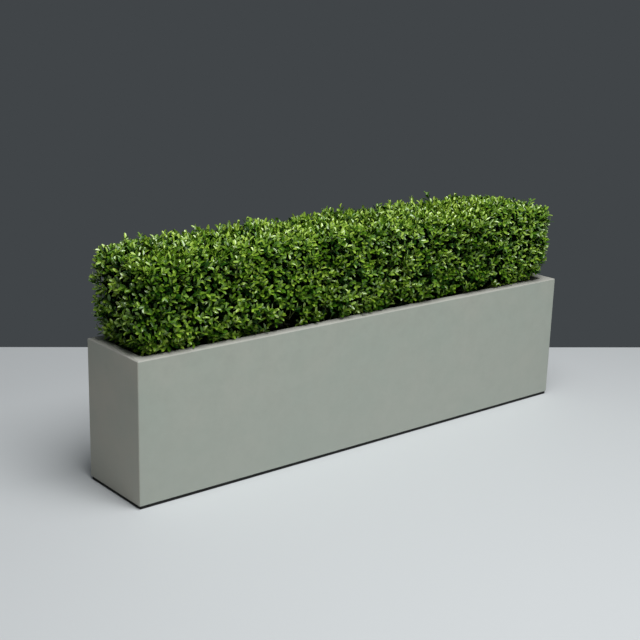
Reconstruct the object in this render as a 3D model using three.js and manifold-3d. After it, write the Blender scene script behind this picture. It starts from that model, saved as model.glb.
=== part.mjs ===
// Boxwood hedge planter: a long cast trough on a recessed foot, filled with soil and planted with a
// row of box shrubs that are clipped to one flat-topped hedge.
// Millimetres, +Z up, X along the hedge, -Y the front. The origin is the middle of the underside.
import * as THREE from "three";
import { mergeVertices } from "three/addons/utils/BufferGeometryUtils.js";
import Module from "manifold-3d";

// Driving dimensions
const CLEARANCE = 0.3; // between pieces that rest on each other
const WELD = 0.1; // corners of a fused body that are closer than this become one
const FOOT = { height: 6, inset: 2 };
const TROUGH = { length: 1200, width: 192, height: 295, wall: 25, floor: 25, corner: 6, edge: 2.5 };
const SOIL_BELOW_RIM = 45;
const SHRUBS = 5;
const STEM = { flare: 13, foot: 8.5, tip: 6.5, height: 30, flareHeight: 9, lean: 5, sides: 10 };
const CLIP = {
  overhang: -3, // from the trough's outer faces out to the clipped surface
  rise: 200, // from the rim to the clipped top
  topRound: 44, // rounding of the top's long edges
  endRound: 46, // rounding of the two free ends
  seamRound: 12, // rounding where two shrubs meet
  skirtRound: 18, // rounding of the underside
  skirtDrop: 10, // the underside hangs this far below the rim, inside the planting space
  skirtTuck: 22, // the hedge's foot is drawn in by this, clear of the rim
  belly: 70, // the height above the rim at which the sides are fullest
  leafGap: 2, // the lowest leaves stay this far above the rim
  seamGap: 1, // half of the space between two shrubs
};
const CORE = { inset: 21, lump: 3.5, lumpLength: 95, parts: [6, 4, 4] };
const LEAF = { length: 34, width: 21, thickness: 2.2, widestAt: 0.6, cup: 2.6, seat: 0.6 };
const SPRIG = {
  wrap: 22, // sprigs on the front, top and back of each shrub
  end: 7, // sprigs on each free end
  root: 3.2, // half-thickness of the twig where it leaves the core
  tip: 2.2,
  tipInset: 16, // from the clipped surface in to the twig's tip
  sunk: 24, // length of twig inside the core
  rise: 0.14, // how strongly a shoot turns up to the light
  wander: 0.22,
  longShare: 0.16, // share of the shoots that have grown on since the last clipping
  longBy: 8,
  seamMargin: 20, // shoots keep this far from the next shrub
  endMargin: 0.1, // share of a free end's width and height that its shoots leave bare at the edges
};
// Each sprig carries opposite pairs of leaves: the way back from its tip, and the tilt off its axis
const LEAF_PAIRS = [
  { back: 1.2, tilt: 60 },
  { back: 4.4, tilt: 77 },
];
const TILT_SPREAD = 16; // degrees by which leaves differ
const SEED = 70;

// Derived heights and lengths
const TROUGH_BASE = FOOT.height + CLEARANCE;
const RIM = TROUGH_BASE + TROUGH.height;
const SOIL_TOP = RIM - SOIL_BELOW_RIM;
const STEM_BASE = SOIL_TOP + CLEARANCE;
const SHRUB_PITCH = TROUGH.length / SHRUBS;
const SKIRT = RIM - CLIP.skirtDrop;
const LOWEST_LEAF = RIM + CLIP.leafGap;
const CLIP_TOP = RIM + CLIP.rise;
const BELLY = RIM + CLIP.belly;

const COLOURS = {
  trough: { color: 0x969c93, roughness: 0.72, metalness: 0 },
  foot: { color: 0x101211, roughness: 0.6, metalness: 0 },
  soil: { color: 0x1d1712, roughness: 0.95, metalness: 0 },
  bark: { color: 0x5b4b36, roughness: 0.9, metalness: 0 },
  foliage: { color: 0x4f7d1c, roughness: 0.42, metalness: 0 },
};

const wasm = await Module();
wasm.setup();

// Random numbers from 0 to 1 that are the same on every run
function seededRandom(seed) {
  let state = seed;
  return () => {
    state = (state + 0x6d2b79f5) | 0;
    let t = Math.imul(state ^ (state >>> 15), 1 | state);
    t = (t + Math.imul(t ^ (t >>> 7), 61 | t)) ^ t;
    return ((t ^ (t >>> 14)) >>> 0) / 4294967296;
  };
}

// The nth point of an even scatter over the unit square
function scatter(n, offset) {
  const plastic = 1.32471795724;
  return [(offset + n / plastic) % 1, (offset + n / (plastic * plastic)) % 1];
}

function toSolid(geometry) {
  const bare = geometry.clone();
  bare.deleteAttribute("normal");
  bare.deleteAttribute("uv");
  const merged = mergeVertices(bare, 1e-3);
  return new wasm.Manifold(
    new wasm.Mesh({
      numProp: 3,
      vertProperties: new Float32Array(merged.attributes.position.array),
      triVerts: new Uint32Array(merged.index.array),
    }),
  );
}

function toGeometry(solid) {
  const mesh = solid.getMesh();
  const geometry = new THREE.BufferGeometry();
  geometry.setAttribute("position", new THREE.BufferAttribute(mesh.vertProperties, 3));
  geometry.setIndex(new THREE.BufferAttribute(mesh.triVerts, 1));
  geometry.computeVertexNormals();
  return geometry;
}

// Fuses solids into one. The largest body is kept, which drops loose scraps and fills sealed hollows.
function fuse(solids) {
  const bodies = wasm.Manifold.union(solids).simplify(WELD).decompose();
  return bodies.reduce((a, b) => (b.volume() > a.volume() ? b : a));
}

function addNode(group, name, geometry, finish) {
  const mesh = new THREE.Mesh(geometry, new THREE.MeshStandardMaterial(COLOURS[finish]));
  mesh.name = name;
  group.add(mesh);
}

// A rectangle with round corners, centred on the origin
function roundedRectangle(length, width, radius) {
  const x = length / 2 - radius;
  const y = width / 2 - radius;
  const shape = new THREE.Shape();
  shape.absarc(x, y, radius, 0, Math.PI / 2);
  shape.absarc(-x, y, radius, Math.PI / 2, Math.PI);
  shape.absarc(-x, -y, radius, Math.PI, Math.PI * 1.5);
  shape.absarc(x, -y, radius, Math.PI * 1.5, Math.PI * 2);
  return shape;
}

function block(length, width, height, radius, edge = 0) {
  const shape = roundedRectangle(length - 2 * edge, width - 2 * edge, radius);
  const geometry = new THREE.ExtrudeGeometry(shape, {
    depth: height - 2 * edge,
    curveSegments: 4,
    bevelEnabled: edge > 0,
    bevelThickness: edge,
    bevelSize: edge,
    bevelSegments: 2,
  });
  return geometry.translate(0, 0, edge);
}

// The trough: thick cast walls round one long planting space
function troughGeometry() {
  const { length, width, height, wall, floor, corner, edge } = TROUGH;
  const outside = block(length, width, height, corner, edge).translate(0, 0, TROUGH_BASE);
  const inside = block(length - 2 * wall, width - 2 * wall, height, corner);
  inside.translate(0, 0, TROUGH_BASE + floor);
  return toGeometry(toSolid(outside).subtract(toSolid(inside)));
}

function footGeometry() {
  const { inset, height } = FOOT;
  return block(TROUGH.length - 2 * inset, TROUGH.width - 2 * inset, height, TROUGH.corner);
}

function soilGeometry() {
  const gap = 2 * (TROUGH.wall + CLEARANCE);
  const base = TROUGH_BASE + TROUGH.floor + CLEARANCE;
  const fill = block(TROUGH.length - gap, TROUGH.width - gap, SOIL_TOP - base, TROUGH.corner);
  return fill.translate(0, 0, base);
}

// A short woody stem: a flat cut at the soil, a flare at the roots, a taper and a lean
function stemGeometry(random) {
  const { flare, foot, tip, height, flareHeight, lean, sides } = STEM;
  const profile = [
    [0, 0],
    [flare, 0],
    [(flare + foot) / 2, flareHeight * 0.4],
    [foot, flareHeight],
    [tip, height],
    [0, height],
  ];
  const geometry = new THREE.LatheGeometry(
    profile.map(([r, z]) => new THREE.Vector2(r, z)),
    sides,
  );
  geometry.rotateX(Math.PI / 2);
  const heading = random() * Math.PI * 2;
  const position = geometry.attributes.position;
  for (let i = 0; i < position.count; i++) {
    const share = position.getZ(i) / height;
    position.setX(i, position.getX(i) + lean * share * Math.cos(heading));
    position.setY(i, position.getY(i) + lean * share * Math.sin(heading));
  }
  const top = new THREE.Vector3(lean * Math.cos(heading), lean * Math.sin(heading), height);
  return { geometry, top };
}

// The space that one shrub is clipped to, drawn in by inset on its open sides
function clipForm(index, inset) {
  const middle = (index - (SHRUBS - 1) / 2) * SHRUB_PITCH;
  const seam = SHRUB_PITCH / 2 - CLIP.seamGap;
  const free = SHRUB_PITCH / 2 + CLIP.overhang - inset;
  const side = TROUGH.width / 2 + CLIP.overhang - inset;
  const first = index === 0;
  const last = index === SHRUBS - 1;
  const top = CLIP.topRound - inset / 2;
  const end = CLIP.endRound - inset / 2;
  return {
    first,
    last,
    low: new THREE.Vector3(middle - (first ? free : seam), -side, SKIRT),
    high: new THREE.Vector3(middle + (last ? free : seam), side, CLIP_TOP - inset),
    lowRound: new THREE.Vector3(first ? end : CLIP.seamRound, top, CLIP.skirtRound),
    highRound: new THREE.Vector3(last ? end : CLIP.seamRound, top, top),
  };
}

// Carries a point of the unit cube onto a clipped form: rounds its edges and draws in its foot.
// Also gives the way out of the form there.
function onForm(form, unit) {
  const size = new THREE.Vector3().subVectors(form.high, form.low);
  const point = unit.clone().multiply(size).add(form.low);
  const inner = point.clone().clamp(
    new THREE.Vector3().addVectors(form.low, form.lowRound),
    new THREE.Vector3().subVectors(form.high, form.highRound),
  );
  const past = new THREE.Vector3().subVectors(point, inner);
  const shares = ["x", "y", "z"].map(
    (axis) => past[axis] / (past[axis] < 0 ? form.lowRound : form.highRound)[axis],
  );
  const length = Math.hypot(...shares);
  if (length > 0) point.copy(inner).addScaledVector(past, Math.max(...shares.map(Math.abs)) / length);
  const outward = new THREE.Vector3(...shares).normalize();
  const tuck = THREE.MathUtils.clamp((BELLY - point.z) / (BELLY - SKIRT), 0, 1) ** 2 * CLIP.skirtTuck;
  const half = size.y / 2;
  point.y *= (half - tuck) / half;
  const middle = (form.low.x + form.high.x) / 2;
  const outer = point.x < middle ? form.first : form.last;
  if (outer) point.x -= ((point.x - middle) / (size.x / 2)) * tuck;
  return { point, outward };
}

// The dense twiggy heart of a shrub, a smaller copy of its clipped form with low lumps
function coreGeometry(index) {
  const form = clipForm(index, CORE.inset);
  const geometry = new THREE.BoxGeometry(1, 1, 1, ...CORE.parts).translate(0.5, 0.5, 0.5);
  const position = geometry.attributes.position;
  const middle = new THREE.Vector3().addVectors(form.low, form.high).multiplyScalar(0.5);
  for (let i = 0; i < position.count; i++) {
    const { point } = onForm(form, new THREE.Vector3().fromBufferAttribute(position, i));
    const turn = (2 * Math.PI) / CORE.lumpLength;
    const lump = Math.sin((point.x + point.z) * turn) * Math.cos(point.y * turn + index);
    const out = new THREE.Vector3(0, point.y - middle.y, point.z - middle.z).normalize();
    point.addScaledVector(out, lump * CORE.lump);
    position.setXYZ(i, point.x, point.y, point.z);
  }
  return geometry;
}

// A leaf blade along +X, its upper face to +Z: an octahedron drawn out flat and cupped at its margins
function leafGeometry() {
  const geometry = new THREE.OctahedronGeometry(1);
  const position = geometry.attributes.position;
  for (let i = 0; i < position.count; i++) {
    const along = Math.abs(position.getX(i)) < 0.5 ? LEAF.widestAt : (position.getX(i) + 1) / 2;
    const across = position.getY(i);
    const lift = position.getZ(i) * (LEAF.thickness / 2) + Math.abs(across) * LEAF.cup;
    position.setXYZ(i, along * LEAF.length, (across * LEAF.width) / 2, lift);
  }
  return geometry;
}

// A three-sided twig from one point to another
function twigGeometry(from, to) {
  const axis = new THREE.Vector3().subVectors(to, from);
  const geometry = new THREE.CylinderGeometry(SPRIG.tip, SPRIG.root, axis.length(), 3);
  geometry.translate(0, axis.length() / 2, 0);
  const up = new THREE.Vector3(0, 1, 0);
  geometry.applyQuaternion(new THREE.Quaternion().setFromUnitVectors(up, axis.normalize()));
  return geometry.translate(from.x, from.y, from.z);
}

// A direction square to another one
function squareTo(axis) {
  const steep = Math.abs(axis.z) > Math.SQRT1_2;
  const helper = steep ? new THREE.Vector3(1, 0, 0) : new THREE.Vector3(0, 0, 1);
  return helper.cross(axis).normalize();
}

// True where every corner of a leaf keeps to its own shrub's space and above the rim
function keepsToSpace(geometry, form) {
  const position = geometry.attributes.position;
  const west = form.first ? -Infinity : form.low.x;
  const east = form.last ? Infinity : form.high.x;
  for (let i = 0; i < position.count; i++) {
    const x = position.getX(i);
    if (x < west || x > east || position.getZ(i) < LOWEST_LEAF) return false;
  }
  return true;
}

// One shoot: a twig out of the core that carries opposite pairs of leaves, each pair turned a quarter
function sprigSolids(site, outward, form, random) {
  const wander = () => (random() - 0.5) * 2 * SPRIG.wander;
  const axis = outward.clone();
  axis.add(new THREE.Vector3(wander(), wander(), SPRIG.rise + wander())).normalize();
  const reach = random() < SPRIG.longShare ? SPRIG.longBy : 0;
  const tip = site.clone().addScaledVector(axis, reach - SPRIG.tipInset);
  const root = tip.clone().addScaledVector(axis, -(SPRIG.sunk + reach));
  const solids = [toSolid(twigGeometry(root, tip))];
  const sideways = squareTo(axis);
  const firstTurn = random() * Math.PI;
  LEAF_PAIRS.forEach(({ back, tilt }, pair) => {
    for (const half of [0, 1]) {
      const turn = firstTurn + (pair * Math.PI) / 2 + half * Math.PI;
      const radial = sideways.clone().applyAxisAngle(axis, turn);
      const lean = THREE.MathUtils.degToRad(tilt + (random() - 0.5) * TILT_SPREAD);
      const along = axis.clone().multiplyScalar(Math.cos(lean)).addScaledVector(radial, Math.sin(lean));
      const face = axis.clone().multiplyScalar(Math.sin(lean)).addScaledVector(radial, -Math.cos(lean));
      const across = new THREE.Vector3().crossVectors(face, along);
      const seat = tip.clone().addScaledVector(axis, -back).addScaledVector(radial, LEAF.seat);
      const place = new THREE.Matrix4().makeBasis(along, across, face).setPosition(seat);
      const leaf = leafGeometry().applyMatrix4(place);
      if (keepsToSpace(leaf, form)) solids.push(toSolid(leaf));
    }
  });
  return solids;
}

// Where the shoots of one shrub reach the clipped surface, and which way is out there
function shootSites(form, random) {
  const sites = [];
  const front = form.high.z - form.low.z;
  const top = form.high.y - form.low.y;
  const around = 2 * front + top;
  const margin = SPRIG.seamMargin / (form.high.x - form.low.x);
  const offset = random();
  for (let n = 0; n < SPRIG.wrap; n++) {
    const [a, b] = scatter(n, offset);
    const along = margin + a * (1 - 2 * margin);
    const run = b * around;
    let unit = new THREE.Vector3(along, (run - front) / top, 1);
    if (run < front) unit = new THREE.Vector3(along, 0, run / front);
    if (run > front + top) unit = new THREE.Vector3(along, 1, (around - run) / front);
    sites.push(onForm(form, unit));
  }
  const inward = (share) => SPRIG.endMargin + share * (1 - 2 * SPRIG.endMargin);
  for (let n = 0; n < SPRIG.end && (form.first || form.last); n++) {
    const [a, b] = scatter(n, offset);
    sites.push(onForm(form, new THREE.Vector3(form.first ? 0 : 1, inward(a), inward(b))));
  }
  return sites;
}

// One clipped shrub: its own stem, the core, and every shoot fused into one body
function foliageGeometry(index, stemTop, random) {
  const form = clipForm(index, 0);
  const own = new THREE.CylinderGeometry(STEM.tip, STEM.tip, CORE.inset * 2, STEM.sides);
  own.rotateX(Math.PI / 2).translate(stemTop.x, stemTop.y, stemTop.z + CLEARANCE + CORE.inset);
  const solids = [toSolid(own), toSolid(coreGeometry(index))];
  for (const { point, outward } of shootSites(form, random)) {
    solids.push(...sprigSolids(point, outward, form, random));
  }
  return toGeometry(fuse(solids));
}

const planter = new THREE.Group();
planter.name = "boxwood_hedge_planter";
addNode(planter, "foot", footGeometry(), "foot");
addNode(planter, "trough", troughGeometry(), "trough");
addNode(planter, "soil", soilGeometry(), "soil");
for (let index = 0; index < SHRUBS; index++) {
  const random = seededRandom(SEED + index);
  const x = (index - (SHRUBS - 1) / 2) * SHRUB_PITCH;
  const { geometry, top } = stemGeometry(random);
  const stemTop = top.add(new THREE.Vector3(x, 0, STEM_BASE));
  addNode(planter, `stem_${index + 1}`, geometry.translate(x, 0, STEM_BASE), "bark");
  addNode(planter, `foliage_${index + 1}`, foliageGeometry(index, stemTop, random), "foliage");
}

export default planter;
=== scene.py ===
# %% [markdown]
# # A clipped box hedge in a cast trough
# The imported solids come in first, as a frame that is never moved. They say where the trough, the soil, the
# stems and the clipped masses are. Everything that shows is then modelled in the same place: the trough
# with ordinary mesh tools, and the leaves, which are far too many to place by hand, with arrays of numbers.

# %% Load the frame
import math

import bpy
import numpy as np
from mathutils import Euler, Matrix, Vector


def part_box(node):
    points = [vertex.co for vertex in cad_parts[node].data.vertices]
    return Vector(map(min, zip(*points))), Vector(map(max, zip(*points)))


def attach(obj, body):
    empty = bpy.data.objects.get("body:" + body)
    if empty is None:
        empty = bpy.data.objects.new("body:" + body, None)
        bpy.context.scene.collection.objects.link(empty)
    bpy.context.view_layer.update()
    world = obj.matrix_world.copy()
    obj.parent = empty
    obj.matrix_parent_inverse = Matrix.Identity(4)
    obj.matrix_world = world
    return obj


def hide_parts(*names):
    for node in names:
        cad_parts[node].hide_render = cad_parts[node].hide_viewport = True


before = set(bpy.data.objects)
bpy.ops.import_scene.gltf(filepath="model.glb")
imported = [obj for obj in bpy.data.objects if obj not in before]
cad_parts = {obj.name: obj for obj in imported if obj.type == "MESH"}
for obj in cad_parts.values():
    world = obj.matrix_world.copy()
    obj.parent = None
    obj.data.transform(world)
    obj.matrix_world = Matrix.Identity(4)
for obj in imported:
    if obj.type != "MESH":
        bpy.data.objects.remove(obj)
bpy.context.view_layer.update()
scene = bpy.context.scene
MM = 0.001

# %% [markdown]
# ## Sizes
# The boxes of the trough, the foot and the soil give every size of the planter, so nothing is measured
# twice. The hedge is worked out in millimetres, as a gardener would give it, and turned to metres when a
# mesh is made.

# %% Sizes from the frame
trough_low, trough_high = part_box("trough")
foot_low, foot_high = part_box("foot")
soil_low, soil_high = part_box("soil")
SHRUBS = 5
LENGTH = (trough_high.x - trough_low.x) / MM
WIDTH = (trough_high.y - trough_low.y) / MM
RIM = trough_high.z / MM
PITCH = LENGTH / SHRUBS
INSIDE_X = soil_high.x / MM
INSIDE_Y = soil_high.y / MM
print(f"trough {LENGTH:.0f} x {WIDTH:.0f} mm, rim at {RIM:.1f} mm, one shrub every {PITCH:.0f} mm")

# %% [markdown]
# ## Camera
# The camera stands to the left of the front and looks down on the hedge. Its place, turn and lens were
# fitted to the edges of the trough. A camera that is made level is first tipped down and turned, and last
# rolled about its own line of sight.

# %% Camera
CAMERA_PLACE = Vector((-1.714, -1.957, 0.9906))
CAMERA_YAW = 39.893
CAMERA_PITCH = 15.593
CAMERA_ROLL = 1.566
FOCAL_PIXELS = 1202.3
IMAGE_PIXELS = 640
SENSOR = 36

bpy.ops.object.select_all(action="DESELECT")
bpy.ops.object.camera_add(location=CAMERA_PLACE)
camera = bpy.context.object
aim = Euler((math.radians(90 - CAMERA_PITCH), 0, math.radians(-CAMERA_YAW))).to_matrix()
camera.rotation_euler = (aim @ Matrix.Rotation(math.radians(CAMERA_ROLL), 3, "Z")).to_euler()
camera.data.sensor_width = SENSOR
camera.data.lens = FOCAL_PIXELS * SENSOR / IMAGE_PIXELS
scene.camera = camera
print(f"lens {camera.data.lens:.1f} mm")

# %% [markdown]
# ## Materials
# Every material is made of nodes. Colours are written as sRGB hex values, as a colour picker shows them,
# and Blender works in linear light, so one function turns them. Another adds a node with its settings and
# links. A Mix node has a set of sockets for each type of data, and the numbers below are those of its
# colours.

# %% Colour and node helpers
def linear(hex_colour):
    """An sRGB hex colour as linear red, green, blue and alpha."""
    shares = [int(hex_colour[i:i + 2], 16) / 255 for i in (1, 3, 5)]
    return [s / 12.92 if s <= 0.04045 else ((s + 0.055) / 1.055) ** 2.4 for s in shares] + [1]


def add_node(tree, kind, inputs=None, **settings):
    """Adds a shader node. An input is a value, or the socket of another node, which is then linked."""
    node = tree.nodes.new("ShaderNode" + kind)
    for name, value in settings.items():
        setattr(node, name, value)
    for name, value in (inputs or {}).items():
        if isinstance(value, bpy.types.NodeSocket):
            tree.links.new(value, node.inputs[name])
        else:
            node.inputs[name].default_value = value
    return node


def new_material(name):
    """A material with its node tree and its main shader, which is linked to the output."""
    material = bpy.data.materials.new(name)
    material.use_nodes = True
    tree = material.node_tree
    return material, tree, tree.nodes["Principled BSDF"]


MIX_FACTOR, MIX_A, MIX_B, MIX_RESULT = 0, 6, 7, 2
print("helpers ready")

# %% [markdown]
# ## Light and floor
# Soft studio light: one large lamp in front, a wide one overhead, and a dim grey surround. The end of the
# trough that faces left gets mostly what the floor throws back, so it stays in shade. The floor is plain,
# in a pale matt paint with only a faint broad sheen. It stops a little behind the planter, so the hedge
# stands before the grey.

# %% Lamps and surround
SURROUND = "#414548"
LAMPS = {
    "key": {"place": (0.4, -4.5, 2.6), "size": 2.0, "power": 38},
    "overhead": {"place": (-0.2, -1.4, 3.6), "size": 2.6, "power": 159},
}
HEDGE_MIDDLE = Vector((0, 0, 0.35))

for lamp_name, lamp in LAMPS.items():
    place = Vector(lamp["place"])
    bpy.ops.object.light_add(type="AREA", location=place)
    light = bpy.context.object
    light.name = lamp_name
    light.rotation_euler = (HEDGE_MIDDLE - place).to_track_quat("-Z", "Y").to_euler()
    light.data.size = lamp["size"]
    light.data.energy = lamp["power"]
world = bpy.data.worlds.new("studio")
scene.world = world
world.use_nodes = True
world.node_tree.nodes["Background"].inputs["Color"].default_value = linear(SURROUND)
scene.view_settings.view_transform = "Standard"
print("lamps", sorted(LAMPS))

# %% Floor
FLOOR_SIZE = 16
FLOOR_BEHIND = 0.6637
FLOOR_TURN = math.radians(-34.62)
FLOOR_COLOUR = "#c9cdcf"

bpy.ops.object.select_all(action="DESELECT")
bpy.ops.mesh.primitive_plane_add(size=FLOOR_SIZE)
floor = bpy.context.object
floor.name = "floor"
floor.location = Matrix.Rotation(FLOOR_TURN, 3, "Z") @ Vector((0, FLOOR_BEHIND - FLOOR_SIZE / 2, 0))
floor.rotation_euler.z = FLOOR_TURN
bpy.ops.object.transform_apply(location=True, rotation=True, scale=True)
floor_paint, tree, shader = new_material("matt_floor_paint")
shader.inputs["Base Color"].default_value = linear(FLOOR_COLOUR)
shader.inputs["Roughness"].default_value = 0.6
floor.data.materials.append(floor_paint)
print("floor", FLOOR_SIZE, "m")

# %% [markdown]
# ## Cast fibre clay
# The trough is cast from clay and fibre and painted a thin sage grey. The paint lies unevenly, so the eye
# sees broad pale and warm clouds a hand wide, small stains inside them, and a dry matt surface with fine
# pores. Towards the foot the colour turns paler: this is painted light, which evens out the fall-off of
# the lamps down the walls. The short ends are paler and warmer, in patches, and the top of the rim is
# paler. Each of these is one share between 0 and 1, from a noise or from the place on the trough, and
# they are laid on in turn, as a painter lays one coat over another.

# %% Patterns in the paint
CLOUD_MM = 170
STAIN_MM = 28
# Real pores are under a millimetre wide. They are drawn coarser here, so that they show.
PORE_MM = 2.2
CLOUDY = {"From Min": 0.35, "From Max": 0.65}
STAINED = {"From Min": 0.38, "From Max": 0.72, "To Max": 0.45}

fibre_clay, tree, shader = new_material("fibre_clay_sage_paint")
place = add_node(tree, "TexCoord").outputs["Object"]
clouds, stains, pores = (
    add_node(
        tree, "TexNoise", {"Vector": place, "Scale": 1 / (width * MM), "Detail": detail, "Roughness": fine}
    ).outputs["Fac"]
    for width, detail, fine in ((CLOUD_MM, 4, 0.6), (STAIN_MM, 5, 0.65), (PORE_MM, 3, 0.5))
)
cloud_share = add_node(tree, "MapRange", {"Value": clouds, **CLOUDY}).outputs["Result"]
stain_share = add_node(tree, "MapRange", {"Value": stains, **STAINED}).outputs["Result"]
print("clouds", CLOUD_MM, "mm, stains", STAIN_MM, "mm, pores", PORE_MM, "mm")

# %% Painted light at the foot, pale ends and pale rim
PAINTED_FOOT_LIGHT_MOST = 0.5
PALE_END_LEAST = 0.55
END_BAND = (1.6, 0.4)
PALE_RIM_BAND = (2.6, 0.4)

axes = add_node(tree, "SeparateXYZ", {"Vector": place}).outputs
# Painted light: the colour turns paler towards the foot, to even out the lamps' fall-off down the walls.
painted_foot_light = add_node(
    tree,
    "MapRange",
    {"Value": axes["Z"], "From Min": trough_high.z, "From Max": trough_low.z, "To Max": PAINTED_FOOT_LIGHT_MOST},
).outputs["Result"]
# The short ends are paler and warmer, in patches.
from_middle = add_node(tree, "Math", {0: axes["X"]}, operation="ABSOLUTE").outputs["Value"]
end_start, end_full = ((LENGTH / 2 - band) * MM for band in END_BAND)
at_end = add_node(
    tree, "MapRange", {"Value": from_middle, "From Min": end_start, "From Max": end_full}
).outputs["Result"]
patches = add_node(tree, "MapRange", {"Value": clouds, **CLOUDY, "To Min": PALE_END_LEAST}).outputs["Result"]
pale_end_share = add_node(tree, "Math", {0: at_end, 1: patches}, operation="MULTIPLY").outputs["Value"]
# The top of the rim is paler.
pale_rim_start, pale_rim_full = ((RIM - band) * MM for band in PALE_RIM_BAND)
pale_rim_share = add_node(
    tree, "MapRange", {"Value": axes["Z"], "From Min": pale_rim_start, "From Max": pale_rim_full}
).outputs["Result"]
print(f"paint is thin from {end_start:.4f} m and worn from {pale_rim_start:.4f} m")

# %% Coats of paint and the surface
SAGE = "#9aa298"
COATS = (
    (cloud_share, "#a0a49a"),
    (stain_share, "#91978d"),
    # painted light, paler towards the foot
    (painted_foot_light, "#b4bab1"),
    (pale_end_share, "#b2afa3"),
    (pale_rim_share, "#acaca5"),
)
DRYNESS = {"To Min": 0.58, "To Max": 0.8}
PORE_RELIEF = {"Strength": 0.18, "Distance": 0.4 * MM}

colour = linear(SAGE)
for share, coat in COATS:
    colour = add_node(
        tree, "Mix", {MIX_FACTOR: share, MIX_A: colour, MIX_B: linear(coat)}, data_type="RGBA"
    ).outputs[MIX_RESULT]
tree.links.new(colour, shader.inputs["Base Color"])
dryness = add_node(tree, "MapRange", {"Value": stains, **DRYNESS}).outputs["Result"]
tree.links.new(dryness, shader.inputs["Roughness"])
relief = add_node(tree, "Bump", {"Height": pores, **PORE_RELIEF}).outputs["Normal"]
tree.links.new(relief, shader.inputs["Normal"])
shader.inputs["IOR"].default_value = 1.45
print("material", fibre_clay.name, "with", len(COATS), "coats on", SAGE)

# %% [markdown]
# ## The trough
# A long box with thick walls and crisp upright corners. By hand it starts as a flat plane: its four corners
# are bevelled by a little and it is extruded up. A second block of the size of the planting space is taken
# out of it with a Boolean, and a Bevel softens the rim and the foot. The inner edge of a hand-finished rim
# is never quite straight, so cuts are made along the trough and the edge is moved a little by a cloud
# texture.

# %% Mesh helpers
CORNER_SEGMENTS = 6


def rounded_block(name, low, high, corner):
    """A plane with rounded corners, extruded up to a block, with its place in its mesh."""
    size = high - low
    middle = (low + high) / 2
    bpy.ops.object.select_all(action="DESELECT")
    bpy.ops.mesh.primitive_plane_add(size=1, location=(middle.x, middle.y, low.z))
    piece = bpy.context.object
    piece.name = name
    piece.scale = (size.x, size.y, 1)
    bpy.ops.object.transform_apply(location=True, rotation=True, scale=True)
    bpy.ops.object.mode_set(mode="EDIT")
    bpy.ops.mesh.select_all(action="SELECT")
    bpy.ops.mesh.bevel(offset=corner, segments=CORNER_SEGMENTS, affect="VERTICES")
    bpy.ops.mesh.select_all(action="SELECT")
    bpy.ops.mesh.extrude_region_move(TRANSFORM_OT_translate={"value": (0, 0, size.z)})
    bpy.ops.mesh.select_all(action="SELECT")
    bpy.ops.mesh.normals_make_consistent(inside=False)
    bpy.ops.object.mode_set(mode="OBJECT")
    return piece


def select_only(piece):
    """Makes a piece the only selected one, and the active one."""
    bpy.ops.object.select_all(action="DESELECT")
    bpy.context.view_layer.objects.active = piece
    piece.select_set(True)


def add_modifier(piece, kind, **settings):
    """Adds a modifier with its settings and applies it."""
    modifier = piece.modifiers.new(kind.lower(), kind)
    for name, value in settings.items():
        setattr(modifier, name, value)
    select_only(piece)
    bpy.ops.object.modifier_apply(modifier=modifier.name)


def cloud_texture(name, size):
    """A soft cloud texture whose clouds are about as wide as size."""
    texture = bpy.data.textures.new(name, "CLOUDS")
    texture.noise_scale = size
    return texture


def finish_piece(piece, materials, nodes, smooth_angle=None):
    """Gives a finished piece its shading, materials and body, and hides the nodes that it stands for."""
    select_only(piece)
    if smooth_angle is not None:
        bpy.ops.object.shade_smooth_by_angle(angle=math.radians(smooth_angle))
    for material in materials:
        piece.data.materials.append(material)
    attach(piece, "root")
    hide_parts(*nodes)
    print(piece.name, len(piece.data.polygons), "faces")


print("mesh helpers ready")

# %% Trough
CLEARANCE = 0.3 * MM
OUTER_CORNER = 2.4 * MM
INNER_CORNER = 9 * MM
SPACE_ABOVE = 10 * MM
RIM_ROUND = 2.8 * MM
SHARP = math.radians(50)

space_low = soil_low - Vector((CLEARANCE, CLEARANCE, CLEARANCE))
space_high = Vector((soil_high.x + CLEARANCE, soil_high.y + CLEARANCE, trough_high.z + SPACE_ABOVE))
trough = rounded_block("trough_cast", trough_low, trough_high, OUTER_CORNER)
space = rounded_block("planting_space", space_low, space_high, INNER_CORNER)
add_modifier(trough, "BOOLEAN", operation="DIFFERENCE", solver="EXACT", object=space)
bpy.data.objects.remove(space)
add_modifier(trough, "BEVEL", width=RIM_ROUND, segments=4, limit_method="ANGLE", angle_limit=SHARP)
print("trough faces", len(trough.data.polygons))

# %% Uneven inner rim
RIM_CUT = 30 * MM
RIM_WAVE = 5 * MM
RIM_WAVE_LENGTH = 55 * MM
CAST_SMOOTH = 35

bpy.ops.object.mode_set(mode="EDIT")
for cut in np.arange(trough_low.x + RIM_CUT, trough_high.x - RIM_CUT / 2, RIM_CUT):
    bpy.ops.mesh.select_all(action="SELECT")
    bpy.ops.mesh.bisect(plane_co=(cut, 0, 0), plane_no=(1, 0, 0))
bpy.ops.object.mode_set(mode="OBJECT")
inner_rim = trough.vertex_groups.new(name="inner_rim")
for vertex in trough.data.vertices:
    x, y, z = vertex.co
    inside = abs(x) < space_high.x + 2 * RIM_ROUND and abs(y) < space_high.y + 2 * RIM_ROUND
    if inside and z > trough_high.z - 2 * RIM_ROUND:
        inner_rim.add([vertex.index], 1, "REPLACE")
add_modifier(
    trough,
    "DISPLACE",
    texture=cloud_texture("rim_clouds", RIM_WAVE_LENGTH),
    texture_coords="LOCAL",
    direction="Y",
    strength=RIM_WAVE,
    vertex_group=inner_rim.name,
)
finish_piece(trough, [fibre_clay], ["trough"], smooth_angle=CAST_SMOOTH)

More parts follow.
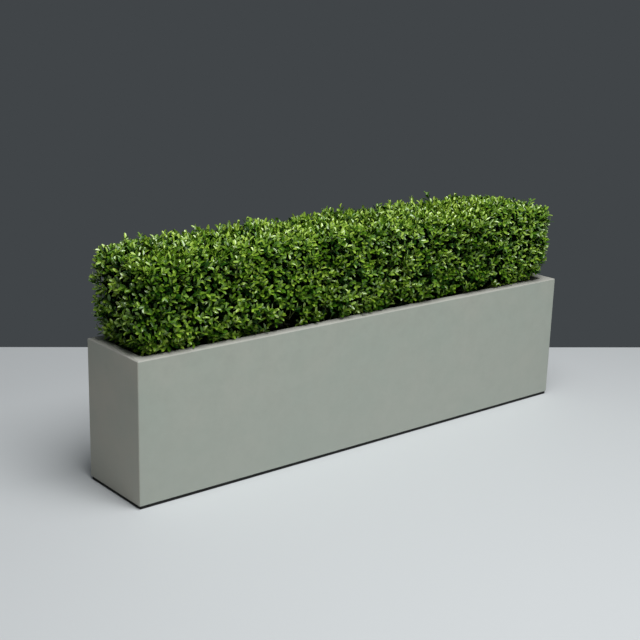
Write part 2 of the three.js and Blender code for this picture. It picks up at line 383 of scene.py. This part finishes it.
# %% [markdown]
# ## The foot
# A dark strip under the trough, set back a little, so the trough seems to float on a thin black line. It is
# made as the trough is, as a flat plate with a small bevel, because only its edge shows. The finish is a
# dull black moulded rubber, a little paler where dust lies, with a grain that shows only up close. Its
# near black is also painted shade, for the shade in the gap under the trough.

# %% Rubber material
# Real moulded grain is finer. It is drawn coarser here, so that it shows up close.
GRAIN_MM = 1.6
DUST_MM = 60

rubber, tree, shader = new_material("black_rubber_and_gap_shade")
place = add_node(tree, "TexCoord").outputs["Object"]
grain, dust = (
    add_node(
        tree, "TexNoise", {"Vector": place, "Scale": 1 / (width * MM), "Detail": detail}
    ).outputs["Fac"]
    for width, detail in ((GRAIN_MM, 2), (DUST_MM, 4))
)
# Near black: the rubber's own colour, and painted shade for the gap under the trough.
black = add_node(
    tree,
    "Mix",
    {MIX_FACTOR: dust, MIX_A: linear("#060706"), MIX_B: linear("#0d0e0d")},
    data_type="RGBA",
).outputs[MIX_RESULT]
tree.links.new(black, shader.inputs["Base Color"])
shader.inputs["Roughness"].default_value = 0.8
relief = add_node(tree, "Bump", {"Height": grain, "Strength": 0.2, "Distance": 0.2 * MM}).outputs["Normal"]
tree.links.new(relief, shader.inputs["Normal"])
print("material", rubber.name)

# %% Foot plate
FOOT_BEVEL = 0.8 * MM

foot = rounded_block("foot_plate", foot_low, foot_high, OUTER_CORNER)
add_modifier(foot, "BEVEL", width=FOOT_BEVEL, segments=2, limit_method="ANGLE", angle_limit=SHARP)
finish_piece(foot, [rubber], ["foot"], smooth_angle=CAST_SMOOTH)

# %% [markdown]
# ## The soil
# Dark potting mix fills the trough to 45 mm below the rim. It is moist bark and peat, so the eye sees matt
# crumbs of several browns. A fine grid is made rough by two cloud textures, one for heaps and one for
# crumbs, and is then extruded down to a flat base, so that it is a closed body and not a thin sheet.

# %% Potting mix material
CRUMB_MM = 7

potting_mix, tree, shader = new_material("moist_potting_mix")
place = add_node(tree, "TexCoord").outputs["Object"]
crumbs = add_node(
    tree, "TexNoise", {"Vector": place, "Scale": 1 / (CRUMB_MM * MM), "Detail": 6}
).outputs["Fac"]
earth = add_node(
    tree,
    "Mix",
    {MIX_FACTOR: crumbs, MIX_A: linear("#16100b"), MIX_B: linear("#3a2c1f")},
    data_type="RGBA",
).outputs[MIX_RESULT]
tree.links.new(earth, shader.inputs["Base Color"])
shader.inputs["Roughness"].default_value = 0.95
relief = add_node(tree, "Bump", {"Height": crumbs, "Strength": 0.7, "Distance": 2 * MM}).outputs["Normal"]
tree.links.new(relief, shader.inputs["Normal"])
print("material", potting_mix.name)

# %% Soil bed
HEAP_MM = 60
HEAP_HEIGHT = 5 * MM
CRUMB_HEIGHT = 3 * MM
SOIL_STEP = 7 * MM
ROUGH_SMOOTH = 60

soil_size = soil_high - soil_low
bpy.ops.object.select_all(action="DESELECT")
bpy.ops.mesh.primitive_grid_add(
    x_subdivisions=round(soil_size.x / SOIL_STEP),
    y_subdivisions=round(soil_size.y / SOIL_STEP),
    size=1,
    location=(0, 0, soil_high.z),
)
soil = bpy.context.object
soil.name = "soil_bed"
soil.scale = (soil_size.x, soil_size.y, 1)
bpy.ops.object.transform_apply(location=True, rotation=True, scale=True)
for name, length, height in (("heaps", HEAP_MM, HEAP_HEIGHT), ("crumbs", CRUMB_MM, CRUMB_HEIGHT)):
    add_modifier(
        soil,
        "DISPLACE",
        texture=cloud_texture(name, length * MM),
        texture_coords="LOCAL",
        direction="Z",
        strength=height,
    )
bpy.ops.object.mode_set(mode="EDIT")
bpy.ops.mesh.select_all(action="SELECT")
bpy.ops.mesh.extrude_region_move(TRANSFORM_OT_translate={"value": (0, 0, soil_low.z - soil_high.z)})
bpy.ops.transform.resize(value=(1, 1, 0), center_override=(0, 0, soil_low.z))
bpy.ops.mesh.select_all(action="SELECT")
bpy.ops.mesh.normals_make_consistent(inside=False)
bpy.ops.object.mode_set(mode="OBJECT")
finish_piece(soil, [potting_mix], ["soil"], smooth_angle=ROUGH_SMOOTH)

# %% [markdown]
# ## How the hedge grows
# Every shrub follows one rule. Its space is a box with rounded edges, drawn in at the foot to clear the
# rim, and the top falls away a little towards both ends of the row. Shoots are scattered evenly over that
# clipped surface, and each points out and up to the light. The same rule placed the few large sprigs of the
# solids. Here it is carried on to real size: more than a thousand shoots to a shrub, each with its small
# leaves in pairs.

# %% The clipped form
CLIP = {
    "overhang": 1.5,
    "left_overhang": -3,
    "right_overhang": -8,
    "rise": 202,
    "top_round": 38,
    "front_round": 58,
    "back_round": 26,
    "left_round": 36,
    "right_round": 68,
    "skirt_round": 18,
    "skirt_drop": 5,
    "skirt_tuck": 24,
    "left_tuck": 30,
    "right_tuck": 60,
    "belly": 80,
    "left_fall": 12,
    "left_fall_length": 420,
    "right_fall": 28,
    "right_fall_length": 250,
}
SKIRT = RIM - CLIP["skirt_drop"]
BELLY = RIM + CLIP["belly"]
LEAST_ROUND = 10
NO_ROUND = 0.01
TINY = 1e-9


def clip_form(index, inset=0.0):
    """The space that one shrub is clipped to, drawn in by inset on its open sides, in millimetres."""
    middle = (index - (SHRUBS - 1) / 2) * PITCH
    first, last = index == 0, index == SHRUBS - 1
    left = PITCH / 2 + first * (CLIP["left_overhang"] - inset)
    right = PITCH / 2 + last * (CLIP["right_overhang"] - inset)
    side = WIDTH / 2 + CLIP["overhang"] - inset
    rounds = {name: max(LEAST_ROUND, CLIP[name] - inset / 2) for name in CLIP if name.endswith("round")}
    left_round = rounds["left_round"] if first else NO_ROUND
    right_round = rounds["right_round"] if last else NO_ROUND
    return {
        "first": first,
        "last": last,
        "low": np.array([middle - left, -side, SKIRT]),
        "high": np.array([middle + right, side, RIM + CLIP["rise"] - inset]),
        "low_round": np.array([left_round, rounds["front_round"], rounds["skirt_round"]]),
        "high_round": np.array([right_round, rounds["back_round"], rounds["top_round"]]),
    }


def unit(vectors):
    """Vectors of length 1."""
    return vectors / np.maximum(np.linalg.norm(vectors, axis=-1, keepdims=True), TINY)


def on_form(form, shares):
    """Carries points of the unit cube onto a clipped form, and gives the way out of it there."""
    low, high = form["low"], form["high"]
    point = low + shares * (high - low)
    inner = np.clip(point, low + form["low_round"], high - form["high_round"])
    past = point - inner
    turn = past / np.where(past < 0, form["low_round"], form["high_round"])
    reach = np.abs(turn).max(axis=1) / np.maximum(np.linalg.norm(turn, axis=1), TINY)
    point = inner + past * reach[:, None]
    tuck = np.clip((BELLY - point[:, 2]) / (BELLY - SKIRT), 0, 1) ** 2
    half = (high - low) / 2
    middle = (high + low) / 2
    point[:, 1] *= 1 - tuck * CLIP["skirt_tuck"] / half[1]
    off_middle = (point[:, 0] - middle[0]) / half[0]
    free = np.where(off_middle < 0, form["first"], form["last"])
    end_tuck = np.where(off_middle < 0, CLIP["left_tuck"], CLIP["right_tuck"])
    point[:, 0] -= off_middle * tuck * free * end_tuck
    from_left, from_right = LENGTH / 2 + point[:, 0], LENGTH / 2 - point[:, 0]
    for name, from_end in (("left_fall", from_left), ("right_fall", from_right)):
        fall = np.clip(1 - from_end / CLIP[name + "_length"], 0, 1) ** 2 * CLIP[name]
        point[:, 2] -= fall * np.clip((point[:, 2] - RIM) / CLIP["rise"], 0, 1)
    return point, unit(turn)


for index in range(SHRUBS):
    form = clip_form(index)
    print("shrub", index + 1, form["low"].round(), form["high"].round())

# %% [markdown]
# ## Even places on the form
# Random places would clump and leave bare spots. A sequence that steps by powers of the plastic number, the
# plane's answer to the golden ratio, fills an area evenly, and a little jitter hides its order. The front,
# top and back of a shrub are unrolled to one rectangle for that, and the free end of the row is another.

# %% Places on the form
PLASTIC = 1.32471795724
JITTER = 0.22
END_SPREAD = 1.3


def scatter(size, spacing, rng):
    """Even points over a rectangle, about spacing apart, each a little off its place."""
    side = max(size)
    steps = np.arange(int((side / spacing) ** 2))[:, None] / np.array([PLASTIC, PLASTIC**2])
    points = ((rng.random(2) + steps) % 1 - 0.5) * side + np.array(size) / 2
    points += rng.normal(size=points.shape) * spacing * JITTER
    return points[((points >= 0) & (points <= size)).all(axis=1)]


def wrap_shares(form, spacing, rng):
    """Even places over the front, top and back of a form, as points of the unit cube."""
    length, top, front = form["high"] - form["low"]
    around = 2 * front + top
    along, run = scatter((length, around), spacing, rng).T
    y = np.clip((run - front) / top, 0, 1)
    z = np.clip(np.minimum(run, around - run) / front, 0, 1)
    return np.stack([along / length, y, z], axis=1)


def end_shares(form, spacing, rng):
    """Even places over the free end of the first or last form."""
    size = (form["high"] - form["low"])[1:]
    across = scatter(size, spacing * END_SPREAD, rng) / size
    return np.column_stack([np.full(len(across), 0.0 if form["first"] else 1.0), across])


def surface_places(index, spacing, inset, rng):
    """Even places on one shrub's clipped surface, about spacing apart, and the way out at each."""
    form = clip_form(index, inset)
    shares = wrap_shares(form, spacing, rng)
    if form["first"] or form["last"]:
        shares = np.concatenate([shares, end_shares(form, spacing, rng)])
    return on_form(form, shares)


print("ends are planted", END_SPREAD, "times as far apart")

# %% [markdown]
# ## Joined meshes from arrays
# Tens of thousands of leaves are one mesh per shrub. A leaf is drawn once, as a few points in its own
# outline, and numpy copies it to every place at once. The arrays then go into the mesh in single calls,
# which takes seconds where a loop over objects would take minutes. Twigs and boughs are tubes along paths,
# made in the same way.

# %% Mesh from arrays
def joined_mesh(name, points, faces, tints=None, smooth=True):
    """A mesh object from points in millimetres and faces, a list of arrays with one row to a face."""
    mesh = bpy.data.meshes.new(name)
    sizes = np.concatenate([np.full(len(f), f.shape[1]) for f in faces])
    corners = np.concatenate([f.ravel() for f in faces])
    starts = np.concatenate([[0], np.cumsum(sizes)[:-1]])
    mesh.vertices.add(len(points))
    mesh.vertices.foreach_set("co", (points * MM).astype(np.float32).ravel())
    mesh.loops.add(len(corners))
    mesh.loops.foreach_set("vertex_index", corners.astype(np.int32))
    mesh.polygons.add(len(sizes))
    mesh.polygons.foreach_set("loop_start", starts.astype(np.int32))
    mesh.polygons.foreach_set("use_smooth", np.full(len(sizes), smooth))
    if tints is not None:
        mesh.polygons.foreach_set("material_index", tints.astype(np.int32))
    mesh.update(calc_edges=True)
    piece = bpy.data.objects.new(name, mesh)
    scene.collection.objects.link(piece)
    return piece


print("joined meshes ready")

# %% Tubes along paths
STEEP_PATH = 0.8


def tubes(paths, radii, sides):
    """Points and faces of tapering tubes along many paths at once, each closed at its tip by one point."""
    count, steps, _ = paths.shape
    ahead = unit(np.gradient(paths, axis=1))
    helper = np.where(np.abs(ahead[:, :1, 2:]) > STEEP_PATH, (1.0, 0, 0), (0, 0, 1.0))
    side = unit(np.cross(np.broadcast_to(helper, ahead.shape), ahead))
    other = np.cross(ahead, side)
    angles = np.arange(sides) / sides * 2 * np.pi
    ring = side[:, :, None] * np.cos(angles)[:, None] + other[:, :, None] * np.sin(angles)[:, None]
    points = paths[:, :, None] + ring * radii[:, :, None, None]
    tips = paths[:, -1:] + ahead[:, -1:] * radii[:, -1:, None]
    points = np.concatenate([points.reshape(count, -1, 3), tips], axis=1)
    own = points.shape[1]
    around, following = np.arange(sides), (np.arange(sides) + 1) % sides
    rings = np.arange(steps - 1)[:, None] * sides
    a, b = (rings + around).ravel(), (rings + following).ravel()
    walls = np.stack([a, b, b + sides, a + sides], axis=1)
    last = (steps - 1) * sides
    caps = np.stack([last + around, last + following, np.full(sides, own - 1)], axis=1)
    shift = (np.arange(count) * own)[:, None, None]
    return points.reshape(-1, 3), [(walls + shift).reshape(-1, 4), (caps + shift).reshape(-1, 3)]


print("tubes ready")

# %% [markdown]
# ## Bark and boughs
# Under the leaves each shrub has a short stem that flares where it meets the soil, and a fan of boughs.
# They are tubes along curves, fused by a remesh, so that the forks swell into each other, and a cloud
# texture then raises the rough bark. Box bark is a dull grey-brown, cracked into small plates. The bark of
# young twigs is smooth and still green, so it lets the thin wood go under among the leaves.

# %% Bark materials
PLATE_MM = 5
WEATHER_MM = 18

bark, tree, shader = new_material("box_bark")
place = add_node(tree, "TexCoord").outputs["Object"]
plates = add_node(tree, "TexVoronoi", {"Vector": place, "Scale": 1 / (PLATE_MM * MM)}).outputs["Distance"]
weather = add_node(
    tree, "TexNoise", {"Vector": place, "Scale": 1 / (WEATHER_MM * MM), "Detail": 5}
).outputs["Fac"]
brown = add_node(
    tree,
    "Mix",
    {MIX_FACTOR: weather, MIX_A: linear("#3d3122"), MIX_B: linear("#7a6a50")},
    data_type="RGBA",
).outputs[MIX_RESULT]
tree.links.new(brown, shader.inputs["Base Color"])
shader.inputs["Roughness"].default_value = 0.9
relief = add_node(tree, "Bump", {"Height": plates, "Strength": 0.6, "Distance": 0.8 * MM}).outputs["Normal"]
tree.links.new(relief, shader.inputs["Normal"])
twig_bark, tree, shader = new_material("green_brown_twig_bark")
shader.inputs["Base Color"].default_value = linear("#46521f")
shader.inputs["Roughness"].default_value = 0.75
print("materials", bark.name, twig_bark.name)

# %% Lines of stems and boughs
RING_DEPTH = 0.5


def stem_line(index):
    """The middles of a stem's foot and tip, and the radii there, read from its solid."""
    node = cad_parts[f"stem_{index + 1}"]
    points = np.array([v.co for v in node.data.vertices]) / MM
    foot_ring = points[points[:, 2] < points[:, 2].min() + RING_DEPTH]
    tip_ring = points[points[:, 2] > points[:, 2].max() - RING_DEPTH]
    middles = [(ring.min(0) + ring.max(0)) / 2 for ring in (foot_ring, tip_ring)]
    return middles[0], middles[1], np.ptp(foot_ring[:, 0]) / 2, np.ptp(tip_ring[:, 0]) / 2


def curve_between(start, lift, end, steps):
    """Points along smooth curves that leave start towards lift and arrive at end."""
    t = np.linspace(0, 1, steps)[:, None]
    return start[:, None] * (1 - t) ** 2 + lift[:, None] * 2 * t * (1 - t) + end[:, None] * t**2


print("first stem stands at", stem_line(0)[0].round(), "mm")

# %% Stems and boughs
BOUGH_SPACING = 100
BOUGH_INSET = 62
BOUGH_LOWEST = RIM + 25
BOUGH_SUNK = 4
BOUGH_LIFT = (0.25, 0.25, 0.55)
BOUGH_RADII = np.linspace(5.2, 2.0, 9)
BOUGH_SIDES = 8
STEM_STEPS = 7
STEM_SIDES = 14
STEM_FLARE = 2.5
BARK_VOXEL = 1.6
BARK_CLOUD = 6
BARK_RELIEF = 1.3
SEED = 70
UP = np.array([0, 0, 1.0])

bark_clouds = cloud_texture("bark_clouds", BARK_CLOUD * MM)
bough_ends = []
for index in range(SHRUBS):
    rng = np.random.default_rng(SEED + index)
    foot_place, tip_place, flare, tip_radius = stem_line(index)
    form = clip_form(index, BOUGH_INSET)
    ends, _ = on_form(form, wrap_shares(form, BOUGH_SPACING, rng))
    ends[:, 2] = np.maximum(ends[:, 2], BOUGH_LOWEST)
    bough_ends.append(ends)
    start = np.broadcast_to(tip_place - UP * BOUGH_SUNK, ends.shape)
    paths = curve_between(start, start + (ends - start) * BOUGH_LIFT, ends, len(BOUGH_RADII))
    points, faces = tubes(paths, np.broadcast_to(BOUGH_RADII, paths.shape[:2]), BOUGH_SIDES)
    stem_path = np.linspace(foot_place, tip_place, STEM_STEPS)[None]
    share = np.linspace(0, 1, STEM_STEPS)
    stem_radii = (tip_radius + (flare - tip_radius) * (1 - share) ** STEM_FLARE)[None]
    stem_points, stem_faces = tubes(stem_path, stem_radii, STEM_SIDES)
    foot_cap = np.arange(STEM_SIDES)[::-1][None]
    boughs = joined_mesh(
        f"stem_and_boughs_{index + 1}",
        np.concatenate([stem_points, points]),
        stem_faces + [foot_cap] + [f + len(stem_points) for f in faces],
    )
    add_modifier(boughs, "REMESH", mode="VOXEL", voxel_size=BARK_VOXEL * MM)
    add_modifier(boughs, "DISPLACE", texture=bark_clouds, texture_coords="LOCAL", strength=BARK_RELIEF * MM)
    finish_piece(boughs, [bark], [f"stem_{index + 1}"], smooth_angle=ROUGH_SMOOTH)

# %% [markdown]
# ## Box leaves
# A box leaf is a small, leathery oval, folded a little along its midrib and shiny on top. Three pairs of
# points are enough for its outline, and with two more for its ends it is a mesh of its own, so no cut-out
# picture is needed. Its faces are left flat: each half of the blade then has its own shade, and the midrib
# shows. The colours are plain, one for each age of leaf. Young leaves are pale and waxy and catch the
# light, and old ones deep inside are dark and dull, so gloss and IOR fall with age. The darkest tints are
# also painted shade: the near black of the oldest stands for the shade deep inside the crown.

# %% Leaf materials
LEAF_AGES_AND_SHADES = {
    "young": {"tint": "#a6c548", "roughness": 0.34, "ior": 1.9},
    "fresh": {"tint": "#8bae30", "roughness": 0.34, "ior": 1.9},
    "full": {"tint": "#6e961e", "roughness": 0.34, "ior": 1.85},
    "firm": {"tint": "#4b7612", "roughness": 0.36, "ior": 1.5},
    "deep": {"tint": "#1f460a", "roughness": 0.45, "ior": 1.25},
    "old_and_shaded": {"tint": "#071e03", "roughness": 0.6, "ior": 1.15},
}
DARKEST_TINT = len(LEAF_AGES_AND_SHADES) - 1

leaf_materials = []
for age_and_shade, look in LEAF_AGES_AND_SHADES.items():
    leaf_material, tree, shader = new_material("box_leaf_" + age_and_shade)
    shader.inputs["Base Color"].default_value = linear(look["tint"])
    shader.inputs["Roughness"].default_value = look["roughness"]
    shader.inputs["IOR"].default_value = look["ior"]
    leaf_materials.append(leaf_material)
print("leaf materials", list(LEAF_AGES_AND_SHADES))

# %% One leaf
LEAF_LENGTH = 16.5
LEAF_WIDTH = 7.3
LEAF_OUTLINE = ((0.2, 0.62), (0.58, 1.0), (0.88, 0.68))
LEAF_FOLD = 0.42
LEAF_CURL = 0.12


def leaf_row(along, full):
    """The left edge, midrib and right edge at one place along a leaf, for a leaf of length 1."""
    half = LEAF_WIDTH / LEAF_LENGTH / 2 * full
    sag = -LEAF_CURL * along**2
    edge = sag + half * LEAF_FOLD
    return [(along, half, edge), (along, 0, sag), (along, -half, edge)]


leaf_rows = [leaf_row(along, full) for along, full in LEAF_OUTLINE]
leaf_points = np.array([(0, 0, 0), *(point for row in leaf_rows for point in row), (1, 0, -LEAF_CURL)])
leaf_tip = len(leaf_points) - 1
LEAF_TRIANGLES = np.array(
    [(0, 2, 1), (0, 3, 2), (leaf_tip - 3, leaf_tip - 2, leaf_tip), (leaf_tip - 2, leaf_tip - 1, leaf_tip)]
)
row_starts = 1 + 3 * np.arange(len(leaf_rows) - 1)
LEAF_QUADS = np.concatenate([row_starts[:, None] + (0, 1, 4, 3), row_starts[:, None] + (1, 2, 5, 4)])
print("one leaf has", len(leaf_points), "points")

# %% [markdown]
# ## An uneven surface
# Shears never leave a hedge quite flat. One soft field of waves runs over all five shrubs: long waves make
# broad lumps, and short ones make hollows that fill with shade. Shallow dips run across the row, as where
# two shrubs meet. A sculptor would push these in with a brush. Here they only move the tips of the shoots,
# so every leaf keeps its size. Three tests then say where nothing grows: in the trough's wall and on its
# rim, in a few dark gaps at the foot of the front, and past the shears.

# %% Lumps, hollows and dips
LUMP = 3.2
LUMP_WAVES = (80, 100, 130, 160, 200)
POCKET = 5.2
POCKET_WAVES = (34, 40, 46, 52, 60)
DIPS = (-310, -140, 120, 235, 350)
DIP_DEPTH = 6
DIP_WIDTH = 34


def waves(places, lengths, rng):
    """A soft uneven field between about -1 and 1, from a few waves of seeded heading."""
    total = np.zeros(len(places))
    for length in lengths:
        heading = unit(rng.normal(size=3))
        total += np.sin(places @ heading / length * 2 * np.pi + rng.random() * 2 * np.pi)
    return total / math.sqrt(2 * len(lengths))


def swell(places):
    """How far the clipped surface stands out or back, in millimetres, as one field over all the shrubs."""
    rng = np.random.default_rng(SEED)
    out = waves(places, LUMP_WAVES, rng) * LUMP
    out += np.minimum(0, waves(places, POCKET_WAVES, rng)) * POCKET
    for dip in DIPS:
        out -= DIP_DEPTH * np.exp(-(((places[:, 0] - dip) / DIP_WIDTH) ** 2))
    return out


print("dips at", DIPS, "mm")

# %% Where nothing grows
WALL_GAP = 2
RIM_GAP = 1
SHEARED = 20
# Each gap has its place along the hedge, half its width, and its height above the rim.
FOOT_GAPS = ((-438, 14, 26), (-226, 27, 46), (-120, 16, 16), (85, 24, 20), (280, 20, 22), (380, 11, 38))


def in_trough(points):
    """True for points that would be in the trough's wall or just above its rim."""
    past_x = np.abs(points[..., 0]) > INSIDE_X - WALL_GAP
    past_y = np.abs(points[..., 1]) > INSIDE_Y - WALL_GAP
    return (past_x | past_y) & (points[..., 2] < RIM + RIM_GAP)


def in_foot_gap(points):
    """True for points in one of the dark gaps at the foot of the hedge's front."""
    above = np.maximum(0, points[..., 2] - RIM)
    inside = np.zeros(points.shape[:-1], bool)
    for place, half_width, height in FOOT_GAPS:
        inside |= ((points[..., 0] - place) / half_width) ** 2 + (above / height) ** 2 < 1
    return inside & (points[..., 1] < 0)


def past_shears(points):
    """True for points that stand out too far from the clipped sides or top."""
    past_side = np.abs(points[..., 1]) > WIDTH / 2 + SHEARED
    return past_side | (points[..., 2] > RIM + CLIP["rise"] + SHEARED)


print("gaps at the foot", len(FOOT_GAPS))

# %% [markdown]
# ## Shoots
# A spray is a group of shoots that start from one branch and lean the same way. Each shoot grows from the
# spray nearest to it and ends at the clipped surface, or a little past it where it has grown since. There
# are four shells of shoots, one inside the other: the outer one is what the eye sees, and the older ones
# behind it fill its gaps with darker green, as in a hedge that is clipped year after year. That darker
# green is also painted shade, for the shade inside the crown.

# %% Shells and shoots
SPRAY_SPACING = 42
SPRAY_INSET = 52
SPRAY_BACK = 30
# A shell's age darkens its tints: partly older leaves, partly painted shade, near black deep in the crown.
SHELLS = (
    {"inset": 0, "spacing": 15.0, "pairs": 3, "leaf": 1.0, "age_and_shade": 0},
    {"inset": 16, "spacing": 18, "pairs": 3, "leaf": 1.0, "age_and_shade": 3.9},
    {"inset": 26, "spacing": 18, "pairs": 3, "leaf": 1.05, "age_and_shade": 4.5},
    {"inset": 40, "spacing": 18, "pairs": 4, "leaf": 1.2, "age_and_shade": 5},
)
RISE = 0.6
SPRAY_WANDER = 0.28
SHOOT_WANDER = 0.38
LEAST_OUT = 0.35
TIP_BACK = 9
REACH_SPREAD = 3.0
LONG_SHARE = 0.12
LONG_REACH = (5, 16)
END_PAINTED_LIGHT = 1.0
STEEP_SHOOT = 0.7


def square_to(axis):
    """A direction square to each axis."""
    helper = np.where(np.abs(axis[:, 2:]) > STEEP_SHOOT, (1.0, 0, 0), (0, 0, 1.0))
    return unit(np.cross(helper, axis))


def grow_shoots(index, shell, sprays, spray_lean, rng):
    """Tips and directions of a shrub's shoots in one shell, with the spray of each and the painted light for
    its tint.
    """
    tips, outward = surface_places(index, shell["spacing"], shell["inset"], rng)
    near = np.linalg.norm((tips - outward * SPRAY_BACK)[:, None] - sprays[None], axis=2).argmin(axis=1)
    axis = unit(outward + UP * RISE + spray_lean[near] + rng.normal(size=tips.shape) * SHOOT_WANDER)
    turned_in = np.minimum(0, (axis * outward).sum(axis=1) - LEAST_OUT)
    axis = unit(axis - outward * turned_in[:, None])
    reach = rng.normal(size=len(tips)) * REACH_SPREAD - TIP_BACK
    reach += (rng.random(len(tips)) < LONG_SHARE) * rng.uniform(*LONG_REACH, len(tips))
    tips = tips + outward * swell(tips)[:, None] + axis * reach[:, None]
    grown = ~(in_trough(tips) | past_shears(tips) | in_foot_gap(tips))
    # Painted light for the tints: largest on top, and also on both ends, which lie in shade.
    light = np.maximum(0, outward[:, 2]) + END_PAINTED_LIGHT * np.abs(outward[:, 0])
    return tips[grown], axis[grown], near[grown], light[grown]


print("shells", [shell["inset"] for shell in SHELLS])

# %% [markdown]
# ## Leaves along a shoot
# Box leaves stand in opposite pairs, and each pair is turned a quarter from the one before it. The pair at
# the tip is small and upright, and the older ones below are full-grown and spread wide. Every blade also
# turns its face a little to the light above. A particle system could scatter leaves too, but it knows
# nothing of pairs, so the turns are worked out here for all the shoots at once.

# %% Leaves in pairs
FIRST_PAIR = 1.0
PAIR_STEP = 7.2
TILT_AT_TIP = 31
TILT_PER_PAIR = 11
TILT_SPREAD = 10
TURN_SPREAD = 0.2
FACE_LIGHT = 0.42
TIP_LEAF = 0.75
LEAF_GROWTH = 0.2
LEAF_SPREAD = (0.85, 1.12)
TINT_SPAN = 2.9
TINT_SPREAD = 0.9
# Each pair down a shoot is dealt a darker tint: partly older leaves, partly painted shade further in.
AGE_AND_SHADE_PER_PAIR = 1.3


def leaves_on(tips, axis, age_and_painted_light, shell, rng):
    """Every leaf of many shoots: opposite pairs, each turned a quarter from the pair before it."""
    shoots = len(tips)
    side = square_to(axis)
    other = np.cross(axis, side)
    first_turn = rng.random(shoots) * np.pi
    blades, tints = [], []
    for pair in range(shell["pairs"]):
        for half in (0, np.pi):
            turn = first_turn + pair * np.pi / 2 + half + rng.normal(size=shoots) * TURN_SPREAD
            radial = side * np.cos(turn)[:, None] + other * np.sin(turn)[:, None]
            degrees = TILT_AT_TIP + TILT_PER_PAIR * pair + rng.normal(size=shoots) * TILT_SPREAD
            tilt = np.radians(degrees)[:, None]
            along = axis * np.cos(tilt) + radial * np.sin(tilt)
            face = axis * np.sin(tilt) - radial * np.cos(tilt)
            to_light = UP - along * along[:, 2:]
            face = unit(face + to_light * FACE_LIGHT)
            across = np.cross(face, along)
            seat = tips - axis * (FIRST_PAIR + PAIR_STEP * pair)
            growth = min(1, TIP_LEAF + LEAF_GROWTH * pair) * shell["leaf"]
            size = LEAF_LENGTH * growth * rng.uniform(*LEAF_SPREAD, shoots)
            grid = np.stack([along, across, face], axis=1) * size[:, None, None]
            points = seat[:, None] + leaf_points @ grid
            # Tint: paler with painted light, darker down the shoot and in inner shells, partly age and
            # partly painted shade.
            tint = age_and_painted_light * TINT_SPAN + rng.random(shoots) * TINT_SPREAD + pair * AGE_AND_SHADE_PER_PAIR
            tint += shell["age_and_shade"]
            keep = ~(in_trough(points) | past_shears(points)).any(axis=1)
            keep &= ~in_foot_gap(points.mean(axis=1))
            blades.append(points[keep])
            tints.append(np.clip(np.floor(tint), 0, DARKEST_TINT)[keep])
    return np.concatenate(blades), np.concatenate(tints)


print("leaves to a shoot", [2 * shell["pairs"] for shell in SHELLS])

# %% [markdown]
# ## Five shrubs
# Each shrub grows from the inside out: branches run from the boughs to the sprays, twigs from the sprays to
# the shoots, and leaves stand along the shoots. The age that picks a leaf's colour is dealt out mostly by
# spray, so a spray of young growth is bright as a whole. Growth on top is younger, where most light falls,
# and on top and at both ends of the row the tints are also made paler as painted light, on the ends to
# lift their shade. Leaves and twigs are one mesh each, so a shrub is easy to move or to recolour.

# %% One shrub
SPRAY_SHARE = 0.6
YOUTH_AND_PAINTED_LIGHT = 0.15
BRANCH_RADII = np.linspace(2.0, 1.2, 5)
BRANCH_SIDES = 5
BRANCH_SAG = 8
LEAFY_LENGTH = 30
TWIG_RADII = np.array([1.1, 1.0, 0.8, 0.45])
TWIG_SIDES = 3
TWIG_BEND = 8


def grow_shrub(index):
    """The leaves of one shrub, the tint of each, and its branches and twigs as a list of tubes."""
    rng = np.random.default_rng(SEED * 10 + index)
    sprays, _ = surface_places(index, SPRAY_SPACING, SPRAY_INSET, rng)
    spray_lean = rng.normal(size=sprays.shape) * SPRAY_WANDER
    spray_age = rng.random(len(sprays))
    ends = bough_ends[index]
    from_bough = ends[np.linalg.norm(sprays[:, None] - ends[None], axis=2).argmin(axis=1)]
    halfway = (from_bough + sprays) / 2 - UP * BRANCH_SAG
    branches = curve_between(from_bough, halfway, sprays, len(BRANCH_RADII))
    wood = [tubes(branches, np.broadcast_to(BRANCH_RADII, branches.shape[:2]), BRANCH_SIDES)]
    blades, tints = [], []
    for shell in SHELLS:
        tips, axis, near, light = grow_shoots(index, shell, sprays, spray_lean, rng)
        age_and_painted_light = spray_age[near] * SPRAY_SHARE + rng.random(len(tips)) * (1 - SPRAY_SHARE)
        # Painted light: shoots on top and at the shaded ends are dealt paler, younger tints.
        age_and_painted_light -= light * YOUTH_AND_PAINTED_LIGHT
        shell_blades, shell_tints = leaves_on(tips, axis, age_and_painted_light, shell, rng)
        blades.append(shell_blades)
        tints.append(shell_tints)
        roots = tips - axis * LEAFY_LENGTH
        starts = sprays[near]
        twigs = np.stack([starts, (starts + roots - axis * TWIG_BEND) / 2, roots, tips], axis=1)
        wood.append(tubes(twigs, np.broadcast_to(TWIG_RADII, twigs.shape[:2]), TWIG_SIDES))
    return np.concatenate(blades), np.concatenate(tints), wood


print("a branch has", len(BRANCH_RADII), "rings and a twig", len(TWIG_RADII))

# %% Leaves and twigs of all shrubs
leaf_count = 0
for index in range(SHRUBS):
    blades, tints, wood = grow_shrub(index)
    leaf_count += len(blades)
    shift = (np.arange(len(blades)) * len(leaf_points))[:, None, None]
    leaves = joined_mesh(
        f"leaves_{index + 1}",
        blades.reshape(-1, 3),
        [(LEAF_TRIANGLES + shift).reshape(-1, 3), (LEAF_QUADS + shift).reshape(-1, 4)],
        np.concatenate([np.repeat(tints, len(LEAF_TRIANGLES)), np.repeat(tints, len(LEAF_QUADS))]),
        smooth=False,
    )
    finish_piece(leaves, leaf_materials, [f"foliage_{index + 1}"])
    starts = np.cumsum([0] + [len(points) for points, _ in wood])
    twigs = joined_mesh(
        f"twigs_{index + 1}",
        np.concatenate([points for points, _ in wood]),
        [f + start for (_, faces), start in zip(wood, starts) for f in faces],
    )
    finish_piece(twigs, [twig_bark], [f"foliage_{index + 1}"])
print("leaves in all", leaf_count)
